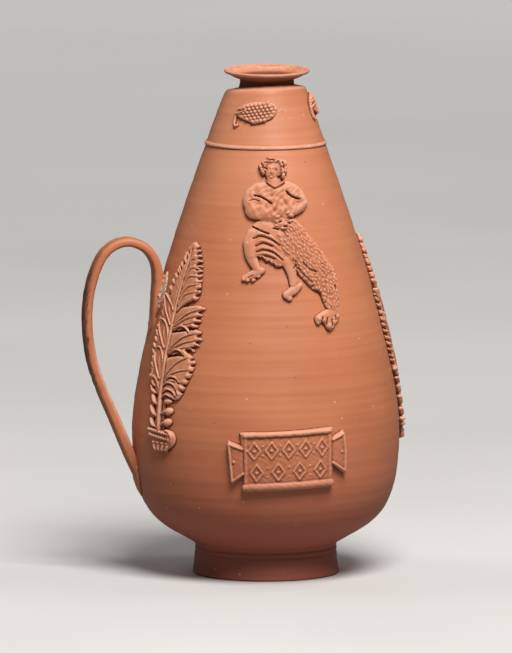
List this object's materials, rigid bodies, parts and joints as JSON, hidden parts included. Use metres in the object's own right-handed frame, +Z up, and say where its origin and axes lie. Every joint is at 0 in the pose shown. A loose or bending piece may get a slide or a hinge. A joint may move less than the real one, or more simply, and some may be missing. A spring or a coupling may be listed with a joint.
{
  "type": "red-slip pottery flask",
  "caption": "Pear-shaped red-slip pottery flask on a ring foot, with a strap handle, a raised shoulder cordon, a flaring lip and mould-made relief sprigs luted to its wall.",
  "frame": {"origin": "on the standing face, in the middle of the flask's outline seen from above", "axes": "+Z up along the wheel axis, -X towards the handle, -Y towards the framed tablet at the front"},
  "size_m": [0.1154, 0.0986, 0.18],
  "materials": {
    "red_slip": "satin fired slip",
    "luting_clay": "matt, paler where squeezed out"
  },
  "bodies": {
    "root": {"foot_ring": "red_slip", "body_wall": "red_slip", "shoulder_cone": "red_slip", "cordon_ring": "red_slip", "mouth_rim": "red_slip", "handle_strap": "red_slip", "handle_upper_collar": "luting_clay", "handle_lower_collar": "luting_clay", "hunter_and_beast": "red_slip", "framed_tablet": "red_slip", "palm_frond_front": "red_slip", "palm_frond_right": "red_slip", "palm_frond_back": "red_slip", "grape_bunch_front": "red_slip", "grape_bunch_right": "red_slip", "grape_bunch_back": "red_slip"}
  },
  "joints": []
}
